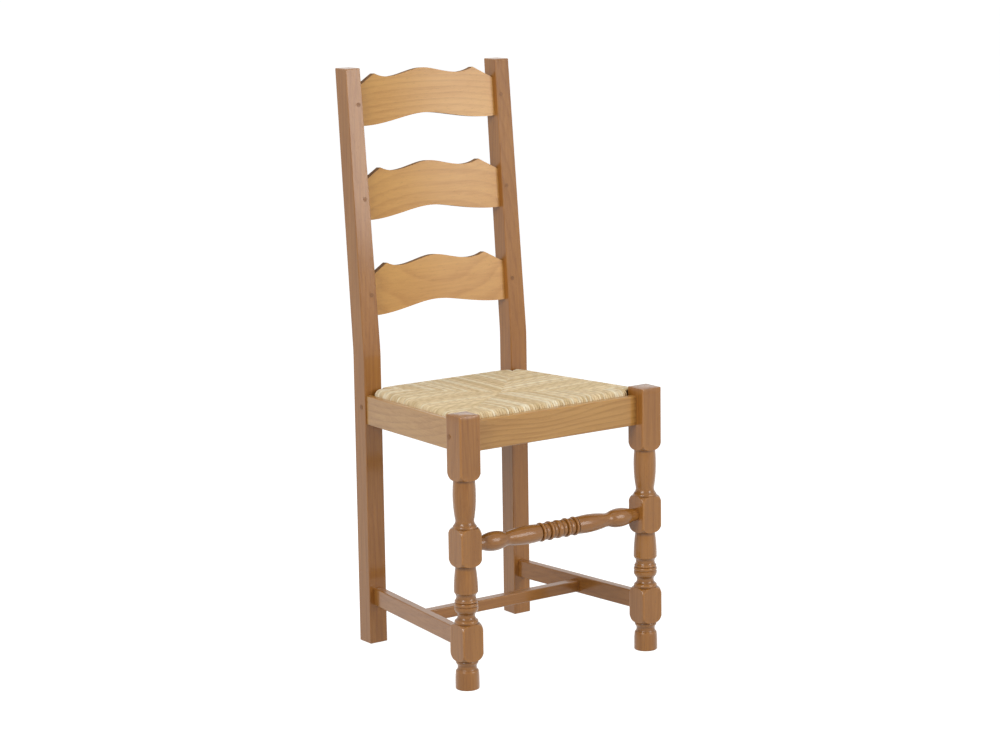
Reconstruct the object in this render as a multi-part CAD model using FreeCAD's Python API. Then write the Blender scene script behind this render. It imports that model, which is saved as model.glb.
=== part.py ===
import FreeCAD, Part
import math
import os

from FreeCAD import Vector

# Ladderback dining chair: turned front legs, raked back posts, three shaped slats and a drop-in rush seat.
# Millimetres. +Y points to the back, +Z is up, and +X is on the right hand of someone who faces the chair.
# The origin is on the floor, under the middle of the chair's bounding box.

# Overall sizes
CHAIR_HEIGHT = 1070.0
FRONT_LEG_HEIGHT = 493.5
FRONT_LEG_SPREAD = 401.5
BACK_POST_SPREAD = 332.0
LEG_DEPTH_SPACING = 359.0

# Front legs: a square blank with three blocks left square and the rest turned
LEG_SQUARE = 43.0
LEG_ARRIS = 1.2
FOOT_RADIUS = 21.4
FOOT_CYLINDER_TOP = 17.0
FOOT_SHOULDER_RADIUS = 20.3
FOOT_SHOULDER_HEIGHT = 33.0
ANKLE_RADIUS = 17.0
ANKLE_HEIGHT = 41.0
ANKLE_RING_RADIUS = 20.0
ANKLE_RING_BOTTOM = 47.5
LOWER_BLOCK_START = 52.0
LOWER_BLOCK_BOTTOM = 71.0
LOWER_BLOCK_TOP = 101.0
LOWER_BLOCK_END = 119.0
COLLAR_RADIUS = 20.8
COLLAR_TOP = 125.0
NECK_RADIUS = 15.5
NECK_HEIGHT = 131.5
CUP_BOTTOM_RADIUS = 17.9
CUP_BOTTOM = 139.0
CUP_MIDDLE_RADIUS = 20.4
CUP_MIDDLE_HEIGHT = 143.0
CUP_RADIUS = 21.4
CUP_TOP = 149.5
RING_TOP = 156.5
SMALL_RING_RADIUS = 20.2
SMALL_RING_TOP = 161.5
GROOVE_DEPTH = 1.6
GROOVE_WIDTH = 1.6
LOWER_NECK_RADIUS = 17.4
LOWER_NECK_HEIGHT = 168.5
LOWER_VASE_RADIUS = 21.3
LOWER_VASE_BOTTOM = 177.0
LOWER_VASE_WAIST_RADIUS = 20.2
LOWER_VASE_WAIST_HEIGHT = 204.0
LOWER_VASE_TOP_RADIUS = 18.4
LOWER_VASE_TOP = 219.5
MIDDLE_BLOCK_START = 223.0
MIDDLE_BLOCK_BOTTOM = 240.0
MIDDLE_BLOCK_TOP = 275.0
MIDDLE_BLOCK_END = 291.5
UPPER_COLLAR_RADIUS = 21.4
UPPER_COLLAR_TOP = 295.5
UPPER_NECK_MIDDLE_RADIUS = 18.2
UPPER_NECK_MIDDLE_HEIGHT = 298.6
UPPER_NECK_RADIUS = 16.6
UPPER_NECK_HEIGHT = 304.0
UPPER_VASE_RADIUS = 20.6
UPPER_VASE_HEIGHT = 351.0
UPPER_VASE_TOP_RADIUS = 19.3
UPPER_VASE_TOP = 376.0
TOP_BLOCK_START = 377.5
TOP_BLOCK_BOTTOM = 396.0
SHOULDER_CUTS = 2

# Back posts: upright to the bend, then raked backwards and tapered in width
POST_WIDTH = 37.5
POST_TOP_WIDTH = 31.0
POST_DEPTH = 37.0
POST_BEND_HEIGHT = 551.0
POST_BEND_RADIUS = 260.0
POST_RAKE = 4.75
POST_ARRIS = 1.2

# Slats, measured square to the raked posts from the line through their lower end corners
SLAT_THICKNESS = 14.0
SLAT_SETBACK = 11.5
SLAT_BOW = 12.0
SLAT_END_HEIGHT = 71.5
SLAT_EAR_HEIGHT = 92.3
SLAT_EAR_X = 110.0
SLAT_VALLEY_HEIGHT = 85.2
SLAT_VALLEY_X = 71.0
SLAT_HUMP_FLANK_HEIGHT = 92.5
SLAT_HUMP_FLANK_X = 31.0
SLAT_CREST_HEIGHT = 97.3
SLAT_ARCH_HEIGHT = 14.0
SLAT_ARCH_FLANK_HEIGHT = 6.5
SLAT_ARCH_FLANK_X = 60.0
SLAT_DIP_DEPTH = 1.0
SLAT_DIP_X = 112.0
LOWER_SLAT_RISE = 69.0
MIDDLE_SLAT_RISE = 245.0
TOP_SLAT_RISE = 417.5
SLAT_TENON_THICKNESS = 8.0
SLAT_TENON_ROOT = 144.0
SLAT_TENON_TIP = 169.0
SLAT_TENON_BOTTOM = 8.0
SLAT_TENON_TOP = 62.0

# Seat rails
RAIL_HEIGHT = 54.5
RAIL_THICKNESS = 22.0
RAIL_ARRIS = 1.5
FRONT_RAIL_TOP = 479.3
FRONT_RAIL_SETBACK = 17.9
SIDE_RAIL_FRONT_TOP = 484.2
SIDE_RAIL_DROP = 11.2
SIDE_RAIL_FRONT_INSET = 4.0
SIDE_RAIL_BACK_INSET = 3.0
REAR_RAIL_TOP = 472.5
REAR_RAIL_SETBACK = 2.5
RAIL_TENON_THICKNESS = 9.0
RAIL_TENON_INSET = 9.0
FRONT_RAIL_TENON_LENGTH = 18.0
SIDE_RAIL_FRONT_TENON_LENGTH = 18.0
SIDE_RAIL_BACK_TENON_LENGTH = 22.0
REAR_RAIL_TENON_LENGTH = 12.0

# Stretchers
SPINDLE_HEIGHT = 258.0
SPINDLE_TENON_RADIUS = 9.0
SPINDLE_TENON_LENGTH = 18.0
SPINDLE_END_RADIUS = 11.5
SPINDLE_BULB_RADIUS = 17.4
SPINDLE_BULB_REACH = 40.0
SPINDLE_WAIST_RADIUS = 12.6
SPINDLE_WAIST_REACH = 69.0
SPINDLE_SWELL_RADIUS = 16.6
SPINDLE_SWELL_REACH = 122.0
SPINDLE_SWELL_END_RADIUS = 15.6
SPINDLE_SWELL_FOOT_RADIUS = 13.4
SPINDLE_WAIST_HALF = 7.0
SPINDLE_BULB_FOOT_RADIUS = 13.0
SPINDLE_BULB_FOOT = 16.0
SPINDLE_GROUP_HALF = 43.0
SPINDLE_GROOVE_RADIUS = 13.0
SPINDLE_DISC_RADIUS = 17.2
SPINDLE_DISC_WIDTH = 5.0
SPINDLE_DISC_CHAMFER = 1.0
SPINDLE_OUTER_DISC = 37.0
SPINDLE_INNER_DISC = 18.5
SPINDLE_BEAD_RADIUS = 15.2
SPINDLE_CENTRE_BEAD_RADIUS = 16.2
SPINDLE_CENTRE_BEAD_HALF = 5.5
SIDE_STRETCHER_BOTTOM = 73.5
SIDE_STRETCHER_HEIGHT = 33.0
SIDE_STRETCHER_THICKNESS = 17.0
SIDE_STRETCHER_TENON_LENGTH = 18.0
SIDE_STRETCHER_TENON_THICKNESS = 8.0
SIDE_STRETCHER_TENON_INSET = 4.0
CROSS_STRETCHER_BOTTOM = 77.0
CROSS_STRETCHER_HEIGHT = 21.0
CROSS_STRETCHER_THICKNESS = 20.0
CROSS_STRETCHER_TENON_LENGTH = 9.0
CROSS_STRETCHER_TENON_THICKNESS = 9.0
CROSS_STRETCHER_TENON_INSET = 3.0
STRETCHER_ARRIS = 1.2

# Rush seat: a wooden frame wrapped with rush, dropped into a rebate in the rails
RUSH_THICKNESS = 24.0
RUSH_ROLL = 12.0
RUSH_UNDER_ROLL = 4.0
RUSH_CREST_FRONT = 489.5
RUSH_CREST_BACK = 483.5
RUSH_FRONT_LIP = 14.0
RUSH_SIDE_LIP = 12.0
RUSH_BACK_LIP = 8.0
RUSH_LEG_GAP = 6.0
RUSH_POST_GAP = 6.0
RUSH_REBATE_GAP = 0.5
RUSH_SEAM_SINK = 3.5
RUSH_CROWN = 0.3
RUSH_CROWN_START = 18.0
RUSH_SEAM_FORWARD = 10.0
SEAT_BAR_WIDTH = 30.0
SEAT_BAR_THICKNESS = 12.0
SEAT_BAR_MARGIN = 7.0
SEAT_BAR_END_GAP = 5.0
SEAT_BAR_TENON_WIDTH = 8.0
SEAT_BAR_TENON_THICKNESS = 6.0
SEAT_BAR_TENON_LENGTH = 10.0

# Corner blocks, and the pegs that lock the joints
CORNER_BLOCK_REACH = 30.0
CORNER_BLOCK_THICKNESS = 18.0
SLAT_PEG_RADIUS = 4.0
SLAT_PEG_RISE = 37.5
SLAT_PEG_X = 159.0
SLAT_PEG_LENGTH = 22.5
RAIL_PEG_RADIUS = 4.5
RAIL_PEG_LENGTH = 22.0
FRONT_RAIL_PEG_INSET = 8.6
FRONT_RAIL_PEG_HEIGHT = 454.5
BACK_RAIL_PEG_INSET = 13.0
BACK_RAIL_PEG_HEIGHT = 450.0
PEG_PROUD = 0.5

# Working allowances
GLUE_GAP = 1.0
REACH = 60.0
LONG_EDGE = 60.0

# Places worked out from the sizes above
POST_LEAN = math.radians(POST_RAKE)
POST_TOP_SHIFT = (CHAIR_HEIGHT - POST_BEND_HEIGHT) * math.tan(POST_LEAN)
CHAIR_DEPTH = LEG_SQUARE / 2 + LEG_DEPTH_SPACING + POST_DEPTH / 2 + POST_TOP_SHIFT
LEG_FRONT = -CHAIR_DEPTH / 2
LEG_Y = LEG_FRONT + LEG_SQUARE / 2
LEG_BACK = LEG_FRONT + LEG_SQUARE
LEG_X = FRONT_LEG_SPREAD / 2
LEG_INNER = LEG_X - LEG_SQUARE / 2
LEG_OUTER = LEG_X + LEG_SQUARE / 2
POST_X = BACK_POST_SPREAD / 2
POST_Y = LEG_Y + LEG_DEPTH_SPACING
POST_FRONT = POST_Y - POST_DEPTH / 2
POST_BACK = POST_Y + POST_DEPTH / 2
POST_INNER = POST_X - POST_WIDTH / 2
POST_OUTER = POST_X + POST_WIDTH / 2
FRONT_RAIL_FACE = LEG_FRONT + FRONT_RAIL_SETBACK
FRONT_RAIL_INNER = FRONT_RAIL_FACE + RAIL_THICKNESS
REAR_RAIL_FACE = POST_FRONT + REAR_RAIL_SETBACK
REAR_RAIL_OUTER = REAR_RAIL_FACE + RAIL_THICKNESS
SIDE_RAIL_FRONT_X = LEG_OUTER - SIDE_RAIL_FRONT_INSET
SIDE_RAIL_BACK_X = POST_OUTER - SIDE_RAIL_BACK_INSET
RUSH_FRONT = FRONT_RAIL_FACE + RUSH_FRONT_LIP
RUSH_BACK = REAR_RAIL_OUTER - RUSH_BACK_LIP


def box(low_x, high_x, low_y, high_y, low_z, high_z):
    """Upright block between two corners."""
    return Part.makeBox(high_x - low_x, high_y - low_y, high_z - low_z, Vector(low_x, low_y, low_z))


def prism(corners, push):
    """Flat outline through the corners, pushed along a vector."""
    wire = Part.makePolygon(corners + [corners[0]])
    return Part.Face(wire).extrude(push)


def mirrored(shape):
    """The same piece for the left side of the chair."""
    return shape.mirror(Vector(0, 0, 0), Vector(1, 0, 0))


def eased(shape, width):
    """Chamfer the long straight arrises of a bar."""
    return shape.makeChamfer(width, [edge for edge in shape.Edges if edge.Length > LONG_EDGE])


def without(shape, cutters):
    """The shape with every cutter taken out of it."""
    for cutter in cutters:
        shape = shape.cut(cutter)
    return max(shape.Solids, key=lambda solid: solid.Volume)


def side_line_x(y, front_x, back_x):
    """X at a given Y on the line that runs from the front leg's back face to the post's front face."""
    along = (y - LEG_BACK) / (POST_FRONT - LEG_BACK)
    return front_x + (back_x - front_x) * along


class TurnedProfile:
    """Half outline of a turned piece, drawn as radius against distance along its axis."""

    def __init__(self, radius, place):
        self.start = Vector(radius, 0, place)
        self.here = self.start
        self.edges = []

    def line(self, radius, place):
        """Straight cut to the given radius and place."""
        point = Vector(radius, 0, place)
        self.edges.append(Part.makeLine(self.here, point))
        self.here = point

    def swell(self, middle_radius, middle_place, radius, place):
        """Long round cut through a middle point."""
        point = Vector(radius, 0, place)
        self.edges.append(Part.Arc(self.here, Vector(middle_radius, 0, middle_place), point).toShape())
        self.here = point

    def round(self, middle_radius, middle_place, radius, place, cuts):
        """Round cut through a middle point, a bead, cove or small swell, scraped in a few straight cuts."""
        arc = Part.Arc(self.here, Vector(middle_radius, 0, middle_place), Vector(radius, 0, place))
        for scraped in arc.discretize(Number=cuts + 1)[1:]:
            self.line(scraped.x, scraped.z)

    def shoulder(self, radius, place):
        """Quarter ellipse between a ring and a square block, square to the axis at the ring."""
        start = self.here
        widening = radius > start.x
        for step in range(1, SHOULDER_CUTS + 1):
            turn = math.pi / 2 * step / SHOULDER_CUTS
            if widening:
                across, along = math.sin(turn), 1 - math.cos(turn)
            else:
                across, along = 1 - math.cos(turn), math.sin(turn)
            self.line(start.x + (radius - start.x) * across, start.z + (place - start.z) * along)

    def solid(self):
        """The turned solid, its axis on Z."""
        low = Vector(0, 0, self.start.z)
        high = Vector(0, 0, self.here.z)
        closing = [Part.makeLine(self.here, high), Part.makeLine(high, low), Part.makeLine(low, self.start)]
        face = Part.Face(Part.Wire(self.edges + closing))
        return face.revolve(Vector(0, 0, 0), Vector(0, 0, 1), 360)


def leg_turning():
    """What the lathe leaves of a front leg: wider than the square at the blocks, slim between them."""
    square = LEG_SQUARE / math.sqrt(2)
    cut = TurnedProfile(FOOT_RADIUS, 0)
    cut.line(FOOT_RADIUS, FOOT_CYLINDER_TOP)
    cut.line(FOOT_SHOULDER_RADIUS, FOOT_SHOULDER_HEIGHT)
    cut.round(ANKLE_RADIUS, ANKLE_HEIGHT, ANKLE_RING_RADIUS, ANKLE_RING_BOTTOM, 3)
    cut.line(ANKLE_RING_RADIUS, LOWER_BLOCK_START)
    cut.shoulder(square, LOWER_BLOCK_BOTTOM)
    cut.line(square, LOWER_BLOCK_TOP)
    cut.shoulder(COLLAR_RADIUS, LOWER_BLOCK_END)
    cut.line(COLLAR_RADIUS, COLLAR_TOP)
    cut.round(NECK_RADIUS, NECK_HEIGHT, CUP_BOTTOM_RADIUS, CUP_BOTTOM, 3)
    cut.round(CUP_MIDDLE_RADIUS, CUP_MIDDLE_HEIGHT, CUP_RADIUS, CUP_TOP, 2)
    cut.line(CUP_RADIUS - GROOVE_DEPTH, CUP_TOP + GROOVE_WIDTH / 2)
    cut.line(CUP_RADIUS, CUP_TOP + GROOVE_WIDTH)
    cut.line(CUP_RADIUS, RING_TOP)
    cut.line(SMALL_RING_RADIUS, RING_TOP)
    cut.line(SMALL_RING_RADIUS, SMALL_RING_TOP)
    cut.round(LOWER_NECK_RADIUS, LOWER_NECK_HEIGHT, LOWER_VASE_RADIUS, LOWER_VASE_BOTTOM, 3)
    cut.swell(LOWER_VASE_WAIST_RADIUS, LOWER_VASE_WAIST_HEIGHT, LOWER_VASE_TOP_RADIUS, LOWER_VASE_TOP)
    cut.line(LOWER_VASE_TOP_RADIUS, MIDDLE_BLOCK_START)
    cut.shoulder(square, MIDDLE_BLOCK_BOTTOM)
    cut.line(square, MIDDLE_BLOCK_TOP)
    cut.shoulder(UPPER_COLLAR_RADIUS, MIDDLE_BLOCK_END)
    cut.line(UPPER_COLLAR_RADIUS, UPPER_COLLAR_TOP)
    cut.round(UPPER_NECK_MIDDLE_RADIUS, UPPER_NECK_MIDDLE_HEIGHT, UPPER_NECK_RADIUS, UPPER_NECK_HEIGHT, 2)
    cut.swell(UPPER_VASE_RADIUS, UPPER_VASE_HEIGHT, UPPER_VASE_TOP_RADIUS, UPPER_VASE_TOP)
    cut.line(UPPER_VASE_TOP_RADIUS, TOP_BLOCK_START)
    cut.shoulder(square, TOP_BLOCK_BOTTOM)
    cut.line(square, FRONT_LEG_HEIGHT)
    return cut.solid()


def front_leg_blank():
    """Right front leg before its mortises: a square blank with chamfered arrises, turned between blocks."""
    half = LEG_SQUARE / 2
    blank = box(-half, half, -half, half, 0, FRONT_LEG_HEIGHT)
    blank = blank.makeChamfer(LEG_ARRIS, [edge for edge in blank.Edges if edge.BoundBox.ZMax > LEG_SQUARE])
    leg = blank.common(leg_turning())
    leg.translate(Vector(LEG_X, LEG_Y, 0))
    return leg


def post_front_outline(y):
    """Outline of a back post from the front: straight to the bend, then tapering evenly on both sides."""
    half = POST_WIDTH / 2
    top_half = POST_TOP_WIDTH / 2
    corners = [(-half, 0), (half, 0), (half, POST_BEND_HEIGHT), (top_half, CHAIR_HEIGHT)]
    corners += [(-top_half, CHAIR_HEIGHT), (-half, POST_BEND_HEIGHT)]
    return [Vector(POST_X + x, y, z) for x, z in corners]


def post_side_face():
    """Outline of a back post seen from the side, with the bend sawn as an arc."""
    half_lean = POST_LEAN / 2
    tangent = POST_BEND_RADIUS * math.tan(half_lean)
    rise = Vector(0, math.sin(POST_LEAN), math.cos(POST_LEAN)) * tangent
    sagitta = POST_BEND_RADIUS * (1 / math.cos(half_lean) - 1)
    inward = Vector(0, math.cos(half_lean), -math.sin(half_lean)) * sagitta
    edges = []
    for y in (POST_FRONT, POST_BACK):
        bend = Vector(0, y, POST_BEND_HEIGHT)
        below = bend - Vector(0, 0, tangent)
        above = bend + rise
        edges.append(Part.makeLine(Vector(0, y, 0), below))
        edges.append(Part.Arc(below, bend + inward, above).toShape())
        edges.append(Part.makeLine(above, Vector(0, y + POST_TOP_SHIFT, CHAIR_HEIGHT)))
    edges.append(Part.makeLine(Vector(0, POST_FRONT, 0), Vector(0, POST_BACK, 0)))
    top_front = Vector(0, POST_FRONT + POST_TOP_SHIFT, CHAIR_HEIGHT)
    top_back = Vector(0, POST_BACK + POST_TOP_SHIFT, CHAIR_HEIGHT)
    edges.append(Part.makeLine(top_front, top_back))
    return Part.Face(Part.Wire(Part.sortEdges(edges)[0]))


def back_post_blank():
    """Right back post before its mortises."""
    side = post_side_face().extrude(Vector(2 * REACH, 0, 0))
    side.translate(Vector(POST_X - REACH, 0, 0))
    through = Vector(0, POST_DEPTH + POST_TOP_SHIFT + 2 * REACH, 0)
    front = prism(post_front_outline(POST_FRONT - REACH), through)
    post = side.common(front)
    arrises = [edge for edge in post.Edges if edge.BoundBox.ZMin > 0 or edge.BoundBox.ZMax < CHAIR_HEIGHT]
    return post.makeChamfer(POST_ARRIS, arrises)


def on_post(shape, rise):
    """Lay a shape, drawn from the post's front face at Y 0, against the raked part, so far up the bend."""
    shape.translate(Vector(0, 0, rise))
    shape.rotate(Vector(0, 0, 0), Vector(1, 0, 0), -POST_RAKE)
    shape.translate(Vector(0, POST_FRONT, POST_BEND_HEIGHT))
    return shape


def slat_outline():
    """Front outline of a slat: a humped top between two pointed ears, and an arched lower edge."""
    end_x = POST_X
    fall = (SLAT_EAR_HEIGHT - SLAT_END_HEIGHT) / (POST_INNER - SLAT_EAR_X)
    end_height = SLAT_EAR_HEIGHT - fall * (end_x - SLAT_EAR_X)
    half_crest = [
        (SLAT_EAR_X, SLAT_EAR_HEIGHT),
        (SLAT_VALLEY_X, SLAT_VALLEY_HEIGHT),
        (SLAT_HUMP_FLANK_X, SLAT_HUMP_FLANK_HEIGHT),
    ]
    half_arch = [(end_x, 0), (SLAT_DIP_X, -SLAT_DIP_DEPTH), (SLAT_ARCH_FLANK_X, SLAT_ARCH_FLANK_HEIGHT)]
    curves = []
    for half, middle in ((half_crest, SLAT_CREST_HEIGHT), (half_arch, SLAT_ARCH_HEIGHT)):
        points = [Vector(-x, 0, z) for x, z in half] + [Vector(0, 0, middle)]
        points += [Vector(x, 0, z) for x, z in reversed(half)]
        spline = Part.BSplineCurve()
        spline.interpolate(points)
        curves.append(spline.toShape())
    edges = list(curves)
    for side in (-1, 1):
        ear = Vector(side * SLAT_EAR_X, 0, SLAT_EAR_HEIGHT)
        top = Vector(side * end_x, 0, end_height)
        edges.append(Part.makeLine(ear, top))
        edges.append(Part.makeLine(top, Vector(side * end_x, 0, 0)))
    return Part.Face(Part.Wire(Part.sortEdges(edges)[0]))


def slat_tenon(side, rise, gap=0.0):
    """Tenon of a slat on one side, or its mortise where a gap is given."""
    middle = SLAT_SETBACK + SLAT_THICKNESS / 2
    half = SLAT_TENON_THICKNESS / 2
    low, high = sorted((side * SLAT_TENON_ROOT, side * (SLAT_TENON_TIP + gap)))
    tenon = box(low, high, middle - half, middle + half, SLAT_TENON_BOTTOM, SLAT_TENON_TOP)
    return on_post(tenon, rise)


def slat(rise, posts, pegs):
    """One bowed slat with a straight tenon at each end, its shoulders fitted to the posts."""
    bow_radius = (POST_INNER ** 2 + SLAT_BOW ** 2) / (2 * SLAT_BOW)
    centre = Vector(0, SLAT_SETBACK + SLAT_BOW - bow_radius, -REACH)
    outer = Part.makeCylinder(bow_radius + SLAT_THICKNESS, 3 * REACH, centre)
    band = outer.cut(Part.makeCylinder(bow_radius, 3 * REACH, centre))
    body = slat_outline().extrude(Vector(0, REACH, 0)).common(band)
    body = without(on_post(body, rise), posts)
    tenons = [slat_tenon(side, rise) for side in (-1, 1)]
    return without(body.fuse(tenons).removeSplitter(), pegs)


def peg(radius, length, head, direction):
    """Round peg that stands a little proud of the face that it is driven into."""
    return Part.makeCylinder(radius, length + PEG_PROUD, head - direction * PEG_PROUD, direction)


def slat_peg(side, rise):
    """Peg that locks a slat's tenon, driven in from the front of the post."""
    head = Vector(side * SLAT_PEG_X, 0, SLAT_PEG_RISE)
    return on_post(peg(SLAT_PEG_RADIUS, SLAT_PEG_LENGTH, head, Vector(0, 1, 0)), rise)


def rail_pegs():
    """Pegs that lock the right side rail's tenons, driven in from the outer faces of the leg and the post."""
    inward = Vector(-1, 0, 0)
    front = Vector(LEG_OUTER, LEG_BACK - FRONT_RAIL_PEG_INSET, FRONT_RAIL_PEG_HEIGHT)
    back = Vector(POST_OUTER, POST_FRONT + BACK_RAIL_PEG_INSET, BACK_RAIL_PEG_HEIGHT)
    return [peg(RAIL_PEG_RADIUS, RAIL_PEG_LENGTH, head, inward) for head in (front, back)]


class SlopedBar:
    """Bar of upright section between the right front leg and the right back post."""

    def __init__(self, front_x, back_x, front_top, back_top, thickness, height):
        self.start = Vector(front_x, LEG_BACK, front_top)
        self.run = Vector(back_x, POST_FRONT, back_top) - self.start
        self.thickness = thickness
        self.height = height

    def solid(self, side_inset=0.0, height_inset=0.0, front_reach=0.0, back_reach=0.0):
        """The bar itself, or a thinner one that reaches past its ends as its tenons do."""
        per_depth = self.run / self.run.y
        near = self.start - per_depth * front_reach + Vector(-side_inset, 0, -height_inset)
        across = Vector(-(self.thickness - 2 * side_inset), 0, 0)
        down = Vector(0, 0, -(self.height - 2 * height_inset))
        corners = [near, near + across, near + across + down, near + down]
        return prism(corners, per_depth * (self.run.y + front_reach + back_reach))


def seat_level(y, below_crest):
    """Height on the sloping seat at a given Y, so far below the crest of the rush."""
    along = (y - RUSH_FRONT) / (RUSH_BACK - RUSH_FRONT)
    return RUSH_CREST_FRONT + (RUSH_CREST_BACK - RUSH_CREST_FRONT) * along - below_crest


def rush_outer_x(y):
    """X of the rush's outer edge on the right side."""
    return side_line_x(y, SIDE_RAIL_FRONT_X, SIDE_RAIL_BACK_X) - RUSH_SIDE_LIP


def seat_slab(margin, below_crest, thickness):
    """Sloping slab in the plan of the rush seat, grown outwards by a margin."""
    front = RUSH_FRONT - margin
    back = RUSH_BACK + margin
    corners = []
    for side, y in ((-1, front), (1, front), (1, back), (-1, back)):
        x = side * (rush_outer_x(y) + margin)
        corners.append(Vector(x, y, seat_level(y, below_crest + thickness)))
    return prism(corners, Vector(0, 0, thickness))


def space_over_run(edge_start, edge_end, centre):
    """Space above one run of rush: level at its rail, then falling gently to the middle of the seat."""
    start, end, middle = [Vector(point.x, point.y, seat_level(point.y, 0))
                          for point in (edge_start, edge_end, centre)]
    up = Vector(0, RUSH_CREST_FRONT - RUSH_CREST_BACK, RUSH_BACK - RUSH_FRONT).normalize()
    inward = up.cross(end - start).normalize()
    width = (middle - start).dot(inward)
    overrun = (end - start).normalize() * 2 * REACH

    def at(distance, below_crest):
        return start - overrun + inward * distance - up * below_crest

    crest = at(RUSH_CROWN_START, 0)
    crown = at((RUSH_CROWN_START + width) / 2, RUSH_SEAM_SINK * RUSH_CROWN)
    lowest = at(width, RUSH_SEAM_SINK)
    beyond = 3 * width
    level = [lowest, at(beyond, RUSH_SEAM_SINK), at(beyond, -REACH), at(RUSH_CROWN_START, -REACH), crest]
    edges = [Part.Arc(crest, crown, lowest).toShape()]
    edges += [Part.makeLine(level[i], level[i + 1]) for i in range(len(level) - 1)]
    return Part.Face(Part.Wire(edges)).extrude(end - start + overrun * 2)


def rush_blank():
    """The whole rush wrapping: rolled edges, four runs with creased seams, corners notched round the frame."""
    slab = seat_slab(0, 0, RUSH_THICKNESS)
    for radius, depth in ((RUSH_UNDER_ROLL, RUSH_THICKNESS), (RUSH_ROLL, 0)):
        rim = [edge for edge in slab.Edges if edge.Length > LONG_EDGE
               and abs(seat_level(edge.CenterOfMass.y, edge.CenterOfMass.z) - depth) < radius / 2]
        slab = slab.makeFillet(radius, rim)
    centre = Vector(0, (LEG_Y + POST_Y) / 2 - RUSH_SEAM_FORWARD, 0)
    corners = [Vector(side * rush_outer_x(y), y, 0) for side, y in
               ((-1, RUSH_FRONT), (1, RUSH_FRONT), (1, RUSH_BACK), (-1, RUSH_BACK))]
    runs = [space_over_run(corners[i], corners[(i + 1) % 4], centre) for i in range(4)]
    hollow = runs[0].common(runs[1]).common(runs[2]).common(runs[3])
    notches = []
    for x, y, forward in ((LEG_INNER - RUSH_LEG_GAP, LEG_BACK + RUSH_LEG_GAP, -1),
                          (POST_INNER - RUSH_POST_GAP, POST_FRONT - RUSH_POST_GAP, 1)):
        low_y, high_y = sorted((y, y + forward * REACH))
        notch = box(x, x + REACH, low_y, high_y, 0, CHAIR_HEIGHT)
        notches += [notch, mirrored(notch)]
    return without(slab, [hollow] + notches)


def seat_bars():
    """The four bars of the seat frame, jointed at the corners, hidden inside the rush."""
    core = seat_slab(0, (RUSH_THICKNESS - SEAT_BAR_THICKNESS) / 2, SEAT_BAR_THICKNESS)
    tongue = seat_slab(0, (RUSH_THICKNESS - SEAT_BAR_TENON_THICKNESS) / 2, SEAT_BAR_TENON_THICKNESS)
    low, high = 0, CHAIR_HEIGHT / 2
    side_front = LEG_BACK + RUSH_LEG_GAP + SEAT_BAR_END_GAP
    side_back = POST_FRONT - RUSH_POST_GAP - SEAT_BAR_END_GAP
    outer = [Vector(rush_outer_x(y) - SEAT_BAR_MARGIN, y, low) for y in (side_front, side_back)]
    inner = [point - Vector(SEAT_BAR_WIDTH, 0, 0) for point in reversed(outer)]
    right = prism(outer + inner, Vector(0, 0, high)).common(core)
    front_near = RUSH_FRONT + SEAT_BAR_MARGIN
    back_far = RUSH_BACK - SEAT_BAR_MARGIN
    front_half = LEG_INNER - RUSH_LEG_GAP - SEAT_BAR_END_GAP
    back_half = POST_INNER - RUSH_POST_GAP - SEAT_BAR_END_GAP
    front = box(-front_half, front_half, front_near, front_near + SEAT_BAR_WIDTH, low, high)
    back = box(-back_half, back_half, back_far - SEAT_BAR_WIDTH, back_far, low, high)
    front_tongue_y = side_front + GLUE_GAP
    back_tongue_y = side_back - GLUE_GAP - SEAT_BAR_TENON_WIDTH
    ends = []
    for bar, y in ((front.common(core), front_tongue_y), (back.common(core), back_tongue_y)):
        bar = without(bar, [right, mirrored(right)])
        tip = rush_outer_x(y) - SEAT_BAR_MARGIN - SEAT_BAR_WIDTH + SEAT_BAR_TENON_LENGTH
        tenon = box(-tip, tip, y, y + SEAT_BAR_TENON_WIDTH, low, high).common(tongue)
        ends.append(bar.fuse(tenon).removeSplitter())
    right = without(right, ends)
    return {"seat_frame_front": ends[0], "seat_frame_back": ends[1], "seat_frame_right": right,
            "seat_frame_left": mirrored(right)}


def corner_block(rail_face, corner_x, corner_y, side_inner, toward_middle):
    """Block glued into a corner of the rails under the seat, notched round the leg or post."""
    far_y = corner_y + toward_middle * CORNER_BLOCK_REACH
    corners = [
        Vector(corner_x - CORNER_BLOCK_REACH, rail_face, 0),
        Vector(corner_x, rail_face, 0),
        Vector(corner_x, corner_y, 0),
        Vector(side_inner(corner_y), corner_y, 0),
        Vector(side_inner(far_y), far_y, 0),
    ]
    column = prism(corners, Vector(0, 0, CHAIR_HEIGHT / 2))
    return column.common(seat_slab(REACH, RUSH_THICKNESS, CORNER_BLOCK_THICKNESS))


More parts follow.
